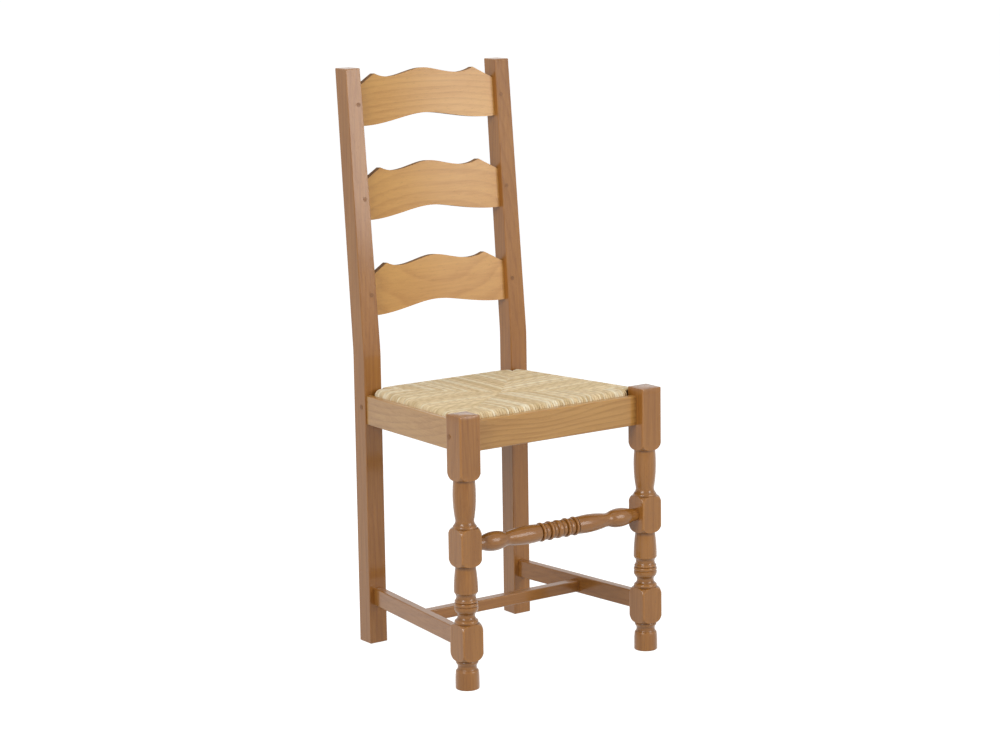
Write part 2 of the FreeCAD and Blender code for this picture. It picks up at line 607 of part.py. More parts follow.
def spindle():
    """Turned front stretcher: two bulbs, two long swells and a middle group of discs and beads."""
    cut = TurnedProfile(SPINDLE_CENTRE_BEAD_RADIUS, 0)
    cut.line(SPINDLE_CENTRE_BEAD_RADIUS, SPINDLE_CENTRE_BEAD_HALF / 2)
    cut.line(SPINDLE_GROOVE_RADIUS, SPINDLE_CENTRE_BEAD_HALF)
    for disc in (SPINDLE_INNER_DISC, SPINDLE_OUTER_DISC):
        near = disc - SPINDLE_DISC_WIDTH / 2
        far = disc + SPINDLE_DISC_WIDTH / 2
        cut.line(SPINDLE_BEAD_RADIUS, (cut.here.z + near) / 2)
        cut.line(SPINDLE_GROOVE_RADIUS, near)
        cut.line(SPINDLE_DISC_RADIUS, near + SPINDLE_DISC_CHAMFER)
        cut.line(SPINDLE_DISC_RADIUS, far - SPINDLE_DISC_CHAMFER)
        cut.line(SPINDLE_GROOVE_RADIUS, far)
    cut.line(SPINDLE_SWELL_END_RADIUS, SPINDLE_GROUP_HALF)
    waist = LEG_INNER - SPINDLE_WAIST_REACH
    bulb = LEG_INNER - SPINDLE_BULB_REACH
    cut.round(SPINDLE_SWELL_RADIUS, LEG_INNER - SPINDLE_SWELL_REACH, SPINDLE_SWELL_FOOT_RADIUS,
              waist - SPINDLE_WAIST_HALF, 4)
    cut.round(SPINDLE_WAIST_RADIUS, waist, SPINDLE_SWELL_FOOT_RADIUS, waist + SPINDLE_WAIST_HALF, 2)
    cut.round(SPINDLE_BULB_RADIUS, bulb, SPINDLE_BULB_FOOT_RADIUS, LEG_INNER - SPINDLE_BULB_FOOT, 5)
    cut.line(SPINDLE_END_RADIUS, LEG_INNER)
    cut.line(SPINDLE_TENON_RADIUS, LEG_INNER)
    cut.line(SPINDLE_TENON_RADIUS, LEG_INNER + SPINDLE_TENON_LENGTH)
    half = cut.solid()
    half.rotate(Vector(0, 0, 0), Vector(0, 1, 0), 90)
    whole = half.fuse(mirrored(half)).removeSplitter()
    whole.translate(Vector(0, LEG_Y, SPINDLE_HEIGHT))
    return whole


def level_tenons(half_length, reach, y, half_thickness, low_z, high_z):
    """One long block through a level bar, whose two ends stand out as tenons."""
    end = half_length + reach
    return box(-end, end, y - half_thickness, y + half_thickness, low_z, high_z)


def export(name, shape):
    """Write one node, after checking that it is sound."""
    if not shape.isValid():
        raise ValueError("unsound solid in " + name)
    solids = shape.Solids
    node = solids[0] if len(solids) == 1 else Part.makeCompound(solids)
    node.exportStep("parts/" + name + ".step")
    triangles = len(node.tessellate(0.1)[1])
    print(name, len(solids), "solids", round(node.Volume / 1000, 1), "cm3", triangles, "triangles")


def seat_rails(side_rail):
    """Front, back and right side rails without tenons, their inner top edges rebated for the rush seat."""
    seat_space = seat_slab(RUSH_REBATE_GAP, -REACH, RUSH_THICKNESS + REACH)
    front = box(-LEG_INNER, LEG_INNER, FRONT_RAIL_FACE, FRONT_RAIL_FACE + RAIL_THICKNESS,
                FRONT_RAIL_TOP - RAIL_HEIGHT, FRONT_RAIL_TOP)
    back = box(-POST_INNER, POST_INNER, REAR_RAIL_FACE, REAR_RAIL_FACE + RAIL_THICKNESS,
               REAR_RAIL_TOP - RAIL_HEIGHT, REAR_RAIL_TOP)
    bars = (front, back, side_rail.solid())
    return [without(eased(bar, RAIL_ARRIS), [seat_space]) for bar in bars]


def build():
    """Make every piece and write one file for each node."""
    leg = front_leg_blank()
    post = back_post_blank()
    posts = [post, mirrored(post)]
    rises = {"lower_slat": LOWER_SLAT_RISE, "middle_slat": MIDDLE_SLAT_RISE, "top_slat": TOP_SLAT_RISE}
    right_slat_pegs = [slat_peg(1, rise) for rise in rises.values()]
    slat_pegs = right_slat_pegs + [slat_peg(-1, rise) for rise in rises.values()]
    right_rail_pegs = rail_pegs()

    side_rail = SlopedBar(SIDE_RAIL_FRONT_X, SIDE_RAIL_BACK_X, SIDE_RAIL_FRONT_TOP,
                          SIDE_RAIL_FRONT_TOP - SIDE_RAIL_DROP, RAIL_THICKNESS, RAIL_HEIGHT)
    rail_side_inset = (RAIL_THICKNESS - RAIL_TENON_THICKNESS) / 2
    side_tenon = side_rail.solid(rail_side_inset, RAIL_TENON_INSET,
                                 SIDE_RAIL_FRONT_TENON_LENGTH, SIDE_RAIL_BACK_TENON_LENGTH)
    side_mortise = side_rail.solid(rail_side_inset, RAIL_TENON_INSET,
                                   SIDE_RAIL_FRONT_TENON_LENGTH + GLUE_GAP,
                                   SIDE_RAIL_BACK_TENON_LENGTH + GLUE_GAP)
    front_rail, back_rail, right_rail = seat_rails(side_rail)
    side_tenon = without(side_tenon, [seat_slab(RUSH_REBATE_GAP, -REACH, RUSH_THICKNESS + REACH)])

    def rail_tongue(half_length, reach, face, top):
        middle = face + RAIL_THICKNESS / 2
        return level_tenons(half_length, reach, middle, RAIL_TENON_THICKNESS / 2,
                            top - RAIL_HEIGHT + RAIL_TENON_INSET, top - 2 * RAIL_TENON_INSET)

    front_tongue = (LEG_INNER, FRONT_RAIL_TENON_LENGTH, FRONT_RAIL_FACE, FRONT_RAIL_TOP)
    back_tongue = (POST_INNER, REAR_RAIL_TENON_LENGTH, REAR_RAIL_FACE, REAR_RAIL_TOP)
    front_rail = front_rail.fuse(rail_tongue(*front_tongue)).removeSplitter()
    back_rail = back_rail.fuse(rail_tongue(*back_tongue)).removeSplitter()
    right_rail = without(right_rail.fuse(side_tenon).removeSplitter(), right_rail_pegs)

    stretcher_top = SIDE_STRETCHER_BOTTOM + SIDE_STRETCHER_HEIGHT
    half_thickness = SIDE_STRETCHER_THICKNESS / 2
    stretcher_bar = SlopedBar(LEG_X + half_thickness, POST_X + half_thickness, stretcher_top, stretcher_top,
                              SIDE_STRETCHER_THICKNESS, SIDE_STRETCHER_HEIGHT)
    stretcher_side_inset = (SIDE_STRETCHER_THICKNESS - SIDE_STRETCHER_TENON_THICKNESS) / 2
    right_stretcher = eased(stretcher_bar.solid(), STRETCHER_ARRIS)
    stretcher_tenon = stretcher_bar.solid(stretcher_side_inset, SIDE_STRETCHER_TENON_INSET,
                                          SIDE_STRETCHER_TENON_LENGTH, SIDE_STRETCHER_TENON_LENGTH)
    stretcher_mortise = stretcher_bar.solid(stretcher_side_inset, SIDE_STRETCHER_TENON_INSET,
                                            SIDE_STRETCHER_TENON_LENGTH + GLUE_GAP,
                                            SIDE_STRETCHER_TENON_LENGTH + GLUE_GAP)
    right_stretcher = right_stretcher.fuse(stretcher_tenon).removeSplitter()

    middle_y = (LEG_Y + POST_Y) / 2
    cross_half = CROSS_STRETCHER_THICKNESS / 2
    inner_half = side_line_x(middle_y, LEG_X, POST_X) - half_thickness
    cross = box(-LEG_X, LEG_X, middle_y - cross_half, middle_y + cross_half,
                CROSS_STRETCHER_BOTTOM, CROSS_STRETCHER_BOTTOM + CROSS_STRETCHER_HEIGHT)
    cross = without(eased(cross, STRETCHER_ARRIS), [right_stretcher, mirrored(right_stretcher)])
    tongue_low = CROSS_STRETCHER_BOTTOM + CROSS_STRETCHER_TENON_INSET
    tongue_high = tongue_low + CROSS_STRETCHER_HEIGHT - 2 * CROSS_STRETCHER_TENON_INSET
    cross_tongues = [level_tenons(inner_half, CROSS_STRETCHER_TENON_LENGTH + gap, middle_y,
                                  CROSS_STRETCHER_TENON_THICKNESS / 2, tongue_low, tongue_high)
                     for gap in (0.0, GLUE_GAP)]
    cross = cross.fuse(cross_tongues[0]).removeSplitter()
    right_stretcher = without(right_stretcher, [cross_tongues[1]])

    turned = spindle()
    spindle_hole = Part.makeCylinder(SPINDLE_TENON_RADIUS, 2 * (LEG_INNER + SPINDLE_TENON_LENGTH + GLUE_GAP),
                                     Vector(-LEG_INNER - SPINDLE_TENON_LENGTH - GLUE_GAP, LEG_Y, SPINDLE_HEIGHT),
                                     Vector(1, 0, 0))
    front_mortise = rail_tongue(LEG_INNER, FRONT_RAIL_TENON_LENGTH + GLUE_GAP, FRONT_RAIL_FACE, FRONT_RAIL_TOP)
    back_mortise = rail_tongue(POST_INNER, REAR_RAIL_TENON_LENGTH + GLUE_GAP, REAR_RAIL_FACE, REAR_RAIL_TOP)
    right_leg = without(leg, [side_mortise, stretcher_mortise, spindle_hole, front_mortise] + right_rail_pegs)
    slat_mortises = [slat_tenon(1, rise, GLUE_GAP) for rise in rises.values()]
    right_post = without(post, [side_mortise, stretcher_mortise, back_mortise] + slat_mortises
                         + right_slat_pegs + right_rail_pegs)

    bars = seat_bars()

    def side_inner(y):
        return side_line_x(y, SIDE_RAIL_FRONT_X, SIDE_RAIL_BACK_X) - RAIL_THICKNESS

    front_block = corner_block(FRONT_RAIL_INNER, LEG_INNER, LEG_BACK, side_inner, 1)
    back_block = corner_block(REAR_RAIL_FACE, POST_INNER, POST_FRONT, side_inner, -1)
    nodes = dict(bars)

    for name, rise in rises.items():
        nodes[name] = slat(rise, posts, slat_pegs)
    for name, piece in (("front_leg", right_leg), ("back_post", right_post), ("side_rail", right_rail),
                        ("side_stretcher", right_stretcher), ("front_corner_block", front_block),
                        ("back_corner_block", back_block)):
        nodes[name + "_right"] = piece
        nodes[name + "_left"] = mirrored(piece)
    nodes["front_rail"] = front_rail
    nodes["back_rail"] = back_rail
    nodes["cross_stretcher"] = cross
    nodes["turned_front_stretcher"] = turned
    nodes["rush_seat"] = without(rush_blank(), bars.values())
    nodes["slat_pegs"] = Part.makeCompound(slat_pegs)
    nodes["rail_pegs"] = Part.makeCompound(right_rail_pegs + [mirrored(peg) for peg in right_rail_pegs])
    for name, shape in nodes.items():
        export(name, shape)


os.makedirs("parts", exist_ok=True)
build()
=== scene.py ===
import math
import random

import bmesh
import bpy
from mathutils import Matrix, Vector


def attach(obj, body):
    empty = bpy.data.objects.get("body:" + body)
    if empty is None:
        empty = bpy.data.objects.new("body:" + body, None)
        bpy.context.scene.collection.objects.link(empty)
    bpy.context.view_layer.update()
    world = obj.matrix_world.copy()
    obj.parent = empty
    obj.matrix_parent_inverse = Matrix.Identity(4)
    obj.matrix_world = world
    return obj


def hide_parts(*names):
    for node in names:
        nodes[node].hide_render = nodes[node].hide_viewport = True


# Ladderback dining chair: stained wood with turned front legs and spindle, and a woven rush seat.
# The workshop sizes below are in millimetres; MM turns them into the metres of the frame.
MM = 0.001

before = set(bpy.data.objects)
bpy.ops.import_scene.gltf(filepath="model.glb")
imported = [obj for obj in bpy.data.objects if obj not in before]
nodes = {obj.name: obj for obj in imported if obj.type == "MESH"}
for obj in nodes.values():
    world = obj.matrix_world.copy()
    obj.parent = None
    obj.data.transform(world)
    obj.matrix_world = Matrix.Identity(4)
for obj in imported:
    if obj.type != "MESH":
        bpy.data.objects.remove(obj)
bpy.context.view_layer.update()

# Where the turned pieces stand
LEG_X = 200.75
LEG_Y = -199.56
LEG_SQUARE = 43.0
LEG_ARRIS = 1.5
LEG_HEIGHT = 493.5
LEG_INNER = 179.25
SPINDLE_HEIGHT = 258.0

# The rush seat's outline in plan, and the levels of its crest
RUSH_FRONT = -189.16
RUSH_BACK = 157.44
RUSH_FRONT_X = 207.5
RUSH_BACK_X = 167.9
RUSH_CREST_FRONT = 489.5
RUSH_CREST_BACK = 483.5
RUSH_THICKNESS = 24.0
RUSH_ROLL = 12.0
RUSH_SINK = 3.5
RUSH_CROWN_START = 18.0
RUSH_CENTRE_Y = -30.06
FRONT_NOTCH_X = 173.25
FRONT_NOTCH_Y = -172.06
BACK_NOTCH_X = 141.25
BACK_NOTCH_Y = 134.94

# The rush strands, how they draw in beside the legs and posts, and how far they wander
STRAND_RADIUS = 2.75
STRAND_PITCH = 5.1
STRAND_SIDES = 6
CORNER_DRAW = 4.0
CORNER_REACH = 26.0
PITCH_WANDER = 0.35
EDGE_WANDER = 0.5
SEAM_WANDER = 1.3
TOP_WANDER = 0.25
PACKING_INSET = 4.6

# How far arrises are softened, and from which angle on an edge is an arris
WOOD_ARRIS = 0.8
PEG_ARRIS = 0.3
ARRIS_ANGLE = math.radians(32)
TURNED_ARRIS_ANGLE = math.radians(38)

# Points round a turned piece, on half a face and on an arris of a square blank, and rings in a shoulder
POINTS_AROUND = 56
FACE_STEPS = 9
ARRIS_STEPS = 4
SHOULDER_RINGS = 12

# How far along a turning its recesses and worn edges are looked for, and how wide a worn arris is
MARK_REACH = 4.5
WORN_ARRIS = math.radians(2.2)

# Points this close, in metres, are one
SAME_POINT = 0.00001

# The axes, as the direction of a grain or a face
X, Y, Z = range(3)


# Node trees

class Value:
    """One value in a node tree. Arithmetic on it adds Math nodes."""

    def __init__(self, tree, socket):
        self.tree = tree
        self.socket = socket

    def math(self, operation, *others):
        """The result of a Math node on this value and the others."""
        return self.tree.node("ShaderNodeMath", {"operation": operation}, [self, *others])

    def output(self, name):
        """Another output of the node this value comes from."""
        return Value(self.tree, self.socket.node.outputs[name])

    def between(self, low, high):
        """0 below low, 1 above high, and a soft step between them."""
        return self.tree.node("ShaderNodeMapRange", {"interpolation_type": "SMOOTHSTEP"},
                              {"Value": self, "From Min": low, "From Max": high})

    def __add__(self, other):
        return self.math("ADD", other)

    def __mul__(self, other):
        return self.math("MULTIPLY", other)

    def __sub__(self, other):
        return self.math("SUBTRACT", other)

    def __truediv__(self, other):
        return self.math("DIVIDE", other)

    def __rsub__(self, other):
        return self.tree.node("ShaderNodeMath", {"operation": "SUBTRACT"}, [other, self])

    __radd__ = __add__
    __rmul__ = __mul__


class Tree:
    """A node tree in the making: a material's, the world's or a modifier's."""

    def __init__(self, tree):
        self.tree = tree

    def node(self, kind, settings=None, inputs=(), output=0):
        """Adds a node with its settings, then the values or links of its sockets."""
        made = self.tree.nodes.new(kind)
        for name, setting in (settings or {}).items():
            if name == "stops":
                ramp = made.color_ramp.elements
                for _ in setting[2:]:
                    ramp.new(0.5)
                for stop, (place, level) in zip(ramp, setting):
                    stop.position = place
                    stop.color = (level, level, level, 1)
            else:
                setattr(made, name, setting)
        named = inputs.items() if isinstance(inputs, dict) else enumerate(inputs)
        for place, given in named:
            if isinstance(given, Value):
                self.tree.links.new(given.socket, made.inputs[place])
            else:
                made.inputs[place].default_value = given
        return Value(self, made.outputs[output])

    def mixed(self, amount, first, second):
        """A colour between first and second."""
        return self.node("ShaderNodeMix", {"data_type": "RGBA"}, {0: amount, 6: first, 7: second}, 2)

    def stretched(self, place, scale):
        """A place in space, stretched differently along each axis."""
        return self.node("ShaderNodeVectorMath", {"operation": "MULTIPLY"}, [place, scale])

    def noise(self, place, detail, roughness, scale=1.0):
        """Soft noise from 0 to 1."""
        inputs = {"Vector": place, "Scale": scale, "Detail": detail, "Roughness": roughness}
        return self.node("ShaderNodeTexNoise", None, inputs)

    def attribute(self, name, output="Fac"):
        """A value that is stored on the mesh."""
        return self.node("ShaderNodeAttribute", {"attribute_name": name}, (), output)

    def drive(self, node, values):
        """Links values to the sockets of a node that is already there."""
        for place, value in values.items():
            self.tree.links.new(value.socket, node.inputs[place])


def colour(red, green, blue):
    """A colour of the wood or the rush, as a shader takes it."""
    return (red, green, blue, 1.0)


def scaled(tint, share):
    """A colour made darker or paler, up to full strength."""
    return colour(*(min(1.0, share * level) for level in tint[:3]))


def new_finish(name, roughness, coat, coat_roughness, specular=0.3):
    """An empty material with the fixed values of its shader, as (material, tree, shader)."""
    material = bpy.data.materials.new(name)
    material.use_nodes = True
    shader = material.node_tree.nodes["Principled BSDF"]
    shader.inputs["Roughness"].default_value = roughness
    shader.inputs["Coat Weight"].default_value = coat
    shader.inputs["Coat Roughness"].default_value = coat_roughness
    shader.inputs["Specular IOR Level"].default_value = specular
    return material, Tree(material.node_tree), shader


def object_place(tree):
    """Where a point lies on its piece, in metres."""
    return tree.node("ShaderNodeTexCoord", None, (), "Object")


# Wood finishes

# Tone across one growth ring: it rises through the early wood and falls off after the late wood
RING_STOPS = [(0.0, 0.1), (0.5, 0.3), (0.86, 1.0), (1.0, 0.1)]


def wood_finish(name, grain, pale, dark, heart, ring_gap, figure, bands=0.2, cut_face=None, coat=0.5,
                coat_blur=0.12, dry=0.0):
    """Stained wood with growth rings, streaks, fibres and pores along the grain, and a satin coat.

    grain is the axis of the fibres, and heart is the middle of the log on the two axes across it. figure is
    how far the rings wander and bands how strong they are. cut_face is the axis of the broad faces; the other
    faces, sawn across, take the stain darker. dry is how much of the finish is missing.
    """
    material, tree, shader = new_finish(name, 0.42 + dry, coat, coat_blur)
    place = object_place(tree)

    def grained(lengthwise, crosswise, detail, roughness):
        """Noise with one scale along the grain and another across it."""
        scale = [crosswise] * 3
        scale[grain] = lengthwise
        return tree.noise(tree.stretched(place, scale), detail, roughness)

    split = tree.node("ShaderNodeSeparateXYZ", None, [place])
    axes = [split.output(axis) for axis in "XYZ"]
    along = axes.pop(grain)
    wander = grained(2.6, 9.0, 2.0, 0.45)
    sway = grained(1.3, 5.0, 1.0, 0.4)
    first = axes[0] - heart[0] + (wander - 0.5) * figure
    second = axes[1] - heart[1] + (sway - 0.5) * figure + along * 0.02
    distance = (first * first + second * second).math("SQRT")
    late_wood = tree.node("ShaderNodeValToRGB", {"stops": RING_STOPS}, [(distance / ring_gap).math("FRACT")])
    broad = grained(3.5, 26.0, 3.0, 0.55)
    streak = grained(9.0, 260.0, 3.0, 0.6)
    fibre = grained(40.0, 1500.0, 2.0, 0.6)
    pore = grained(70.0, 1100.0, 1.0, 0.5).between(0.66, 0.74)
    tone = late_wood * bands + (broad - 0.5) + (streak - 0.5) * 0.85 + (fibre - 0.5) * 0.35 + 0.3
    wood = tree.mixed(tone.between(0.0, 1.0), pale, dark)
    wood = tree.mixed(pore * 0.35, wood, scaled(dark, 0.45))
    polish = 0.34 + dry + (streak - 0.5) * 0.16 + (broad - 0.5) * 0.14 + pore * 0.15
    if cut_face is not None:
        normal = tree.node("ShaderNodeNewGeometry", None, (), "Normal")
        faces = tree.node("ShaderNodeSeparateXYZ", None, [normal]).output("XYZ"[cut_face]).math("ABSOLUTE")
        sawn = 1 - faces.between(0.35, 0.75)
        wood = tree.mixed(sawn * 0.8, wood, SAWN_STAIN)
        polish = polish + sawn * 0.4
        tree.drive(shader, {"Coat Weight": (1 - sawn) * coat})
    wood = tree.mixed(tree.attribute("recess") * 0.55, wood, scaled(dark, 0.42))
    wood = tree.mixed(tree.attribute("wear") * (0.15 + broad * 0.3), wood, scaled(pale, 1.35))
    relief = streak * 0.5 + fibre * 0.35 - pore * 0.8 + late_wood * 0.25
    bump = tree.node("ShaderNodeBump", None, {"Strength": 0.22 + dry, "Distance": 0.0005, "Height": relief})
    tree.drive(shader, {"Base Color": wood, "Roughness": polish, "Normal": bump})
    return material


def rush_finish(name, pale, dark, shade):
    """Twisted rush: each strand has its own tone, with long streaks and a twist along it."""
    material, tree, shader = new_finish(name, 0.62, 0.0, 0.3, 0.35)
    tone = tree.attribute("strand_tone")
    length = tree.attribute("strand_length")
    around = tree.attribute("around", "Vector")
    across = tree.node("ShaderNodeSeparateXYZ", None, [around])
    turn = length * 230.0 + tone * 60.0
    leaf = across * turn.math("SINE") + across.output("Y") * turn.math("COSINE")
    streak_place = tree.node("ShaderNodeCombineXYZ", None, [length * 28.0, tone * 45.0, leaf * 1.3])
    streak = tree.noise(streak_place, 3.0, 0.6)
    fibre = tree.noise(tree.stretched(around, [2.5, 2.5, 0.0]), 2.0, 0.6, 2.0)
    straw = tree.mixed((tone * 0.75 + (streak - 0.5) * 0.9 + 0.1).between(0.0, 1.0), dark, pale)
    olive = (tone * 7.3).math("FRACT").between(0.74, 0.9) * streak.between(0.35, 0.65)
    straw = tree.mixed(olive * 0.35, straw, OLIVE_RUSH)
    bleached = (tone * 11.7).math("FRACT").between(0.7, 0.85)
    straw = tree.mixed(bleached * 0.62, straw, BLEACHED_RUSH)
    straw = tree.mixed(leaf.between(-0.2, -0.95) * 0.35, straw, shade)
    relief = leaf * 0.6 + streak * 0.7 + fibre * 0.3
    bump = tree.node("ShaderNodeBump", None, {"Strength": 0.45, "Distance": 0.0006, "Height": relief})
    tree.drive(shader, {"Base Color": straw, "Roughness": 0.5 + streak * 0.25, "Normal": bump})
    return material


def packed_rush_finish(name, shade, deep):
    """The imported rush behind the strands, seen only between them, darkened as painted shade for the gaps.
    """
    material, tree, shader = new_finish(name, 0.85, 0.0, 0.3, 0.2)
    clump = tree.noise(tree.stretched(object_place(tree), [240.0] * 3), 3.0, 0.6)
    tree.drive(shader, {"Base Color": tree.mixed(clump, deep, shade), "Roughness": 0.75 + clump * 0.2})
    return material


SLAT_PALE = colour(0.64, 0.335, 0.082)
SLAT_DARK = colour(0.49, 0.225, 0.045)
RAIL_PALE = colour(0.56, 0.295, 0.078)
RAIL_DARK = colour(0.41, 0.19, 0.042)
POST_PALE = colour(0.40, 0.168, 0.032)
POST_DARK = colour(0.26, 0.095, 0.015)
PLAIN_PALE = colour(0.66, 0.50, 0.31)
PLAIN_DARK = colour(0.47, 0.32, 0.17)

PEG_PALE = colour(0.30, 0.125, 0.03)
PEG_DARK = colour(0.19, 0.075, 0.016)
SAWN_STAIN = colour(0.12, 0.048, 0.014)
PALE_RUSH = colour(0.90, 0.74, 0.48)
DARK_RUSH = colour(0.68, 0.51, 0.275)
SHADED_RUSH = colour(0.48, 0.33, 0.16)
OLIVE_RUSH = colour(0.52, 0.41, 0.18)
BLEACHED_RUSH = colour(0.95, 0.88, 0.68)
WHITE = colour(1, 1, 1)

slat_wood = wood_finish("slat_wood", X, SLAT_PALE, SLAT_DARK, (0.42, 0.70), 0.0085, 0.035, bands=0.34,
                        cut_face=Y, coat_blur=0.3)
rail_wood = wood_finish("rail_wood_across", X, RAIL_PALE, RAIL_DARK, (-0.26, 0.40), 0.0075, 0.09, bands=0.5)
side_rail_wood = wood_finish("rail_wood_deep", Y, RAIL_PALE, RAIL_DARK, (-0.13, 0.52), 0.009, 0.06, bands=0.3)
post_wood = wood_finish("post_and_leg_wood", Z, POST_PALE, POST_DARK, (0.05, -0.02), 0.0085, 0.04)
spindle_wood = wood_finish("spindle_wood", X, POST_PALE, POST_DARK, (-0.15, 0.22), 0.007, 0.03)
stretcher_wood = wood_finish("side_stretcher_wood", Y, POST_PALE, POST_DARK, (0.02, 0.16), 0.009, 0.03)
cross_wood = wood_finish("cross_stretcher_wood", X, POST_PALE, POST_DARK, (-0.08, 0.14), 0.009, 0.03)
peg_wood = wood_finish("peg_end_wood", Y, PEG_PALE, PEG_DARK, (0.0, 0.5), 0.003, 0.004, coat=0.1)
plain_across = wood_finish("plain_sawn_wood_across", X, PLAIN_PALE, PLAIN_DARK, (-0.1, 0.5), 0.008, 0.03,
                           bands=0.3, coat=0.0, dry=0.35)
plain_deep = wood_finish("plain_sawn_wood_deep", Y, PLAIN_PALE, PLAIN_DARK, (0.1, 0.5), 0.008, 0.03,
                         bands=0.3, coat=0.0, dry=0.35)
rush_straw = rush_finish("rush_straw", PALE_RUSH, DARK_RUSH, SHADED_RUSH)
# The packing's two dark colours are painted shade for the gaps between the strands
rush_packed = packed_rush_finish("rush_packed", colour(0.42, 0.30, 0.15), colour(0.22, 0.14, 0.06))


# Square wooden pieces: the frame's own nodes with softened arrises

def new_group(name, inputs, result):
    """An empty modifier tree with its inputs and its one result, as (group, tree, given inputs)."""
    group = bpy.data.node_groups.new(name, "GeometryNodeTree")
    for title, kind in inputs.items():
        group.interface.new_socket(title, in_out="INPUT", socket_type="NodeSocket" + kind)
    group.interface.new_socket(result, in_out="OUTPUT", socket_type="NodeSocketGeometry")
    tree = Tree(group)
    return group, tree, tree.node("NodeGroupInput")


def arris_tree():
    """Joins the loose faces of a node, and shades its curves smooth and its arrises sharp."""
    inputs = {"Geometry": "Geometry", "Sharp angle": "Float"}
    group, tree, given = new_group("joined_faces", inputs, "Geometry")
    joined = tree.node("GeometryNodeMergeByDistance", None, {"Geometry": given, "Distance": SAME_POINT})
    smooth = tree.node("GeometryNodeSetShadeSmooth", {"domain": "FACE"},
                       {"Geometry": joined, "Shade Smooth": True})
    angle = tree.node("GeometryNodeInputMeshEdgeAngle")
    sharp = tree.node("FunctionNodeCompare", {"data_type": "FLOAT", "operation": "GREATER_THAN"},
                      [angle, given.output("Sharp angle")])
    creased = tree.node("GeometryNodeSetShadeSmooth", {"domain": "EDGE"},
                        {"Geometry": smooth, "Selection": sharp, "Shade Smooth": False})
    tree.drive(group.nodes.new("NodeGroupOutput"), {0: creased})
    return group


def set_modifier_inputs(modifier, **values):
    """Sets a modifier's named inputs by the identifiers of their sockets."""
    for item in modifier.node_group.interface.items_tree:
        name = item.name.replace(" ", "_").lower()
        if item.in_out == "INPUT" and name in values:
            modifier[item.identifier] = values[name]


joined_faces = arris_tree()


def finish_node(name, material, arris):
    """Gives a node of the frame its wood, and softens its arrises by so many millimetres."""
    piece = nodes[name]
    joined = piece.modifiers.new("joined_faces", "NODES")
    joined.node_group = joined_faces
    set_modifier_inputs(joined, sharp_angle=ARRIS_ANGLE)
    bevel = piece.modifiers.new("soft_arrises", "BEVEL")
    bevel.width = arris * MM
    bevel.segments = 2
    bevel.limit_method = "ANGLE"
    bevel.angle_limit = ARRIS_ANGLE
    bevel.harden_normals = True
    piece.data.materials.clear()
    piece.data.materials.append(material)


WOOD_OF_NODES = {
    slat_wood: ("top_slat", "middle_slat", "lower_slat"),
    rail_wood: ("front_rail", "back_rail"),
    side_rail_wood: ("side_rail_left", "side_rail_right"),
    post_wood: ("back_post_left", "back_post_right"),
    stretcher_wood: ("side_stretcher_left", "side_stretcher_right"),
    cross_wood: ("cross_stretcher",),
    peg_wood: ("slat_pegs", "rail_pegs"),
    plain_across: ("seat_frame_front", "seat_frame_back", "front_corner_block_left",
                   "front_corner_block_right", "back_corner_block_left", "back_corner_block_right"),
    plain_deep: ("seat_frame_left", "seat_frame_right"),
}
for wood, names in WOOD_OF_NODES.items():
    for node_name in names:
        finish_node(node_name, wood, PEG_ARRIS if wood is peg_wood else WOOD_ARRIS)


# Turned pieces

def circle_through(start, middle, end):
    """Centre of the circle through three points of a profile."""
    (ax, ay), (bx, by), (cx, cy) = start, middle, end
    spread = 2 * (ax * (by - cy) + bx * (cy - ay) + cx * (ay - by))
    a, b, c = ax * ax + ay * ay, bx * bx + by * by, cx * cx + cy * cy
    return ((a * (by - cy) + b * (cy - ay) + c * (ay - by)) / spread,
            (a * (cx - bx) + b * (ax - cx) + c * (bx - ax)) / spread)


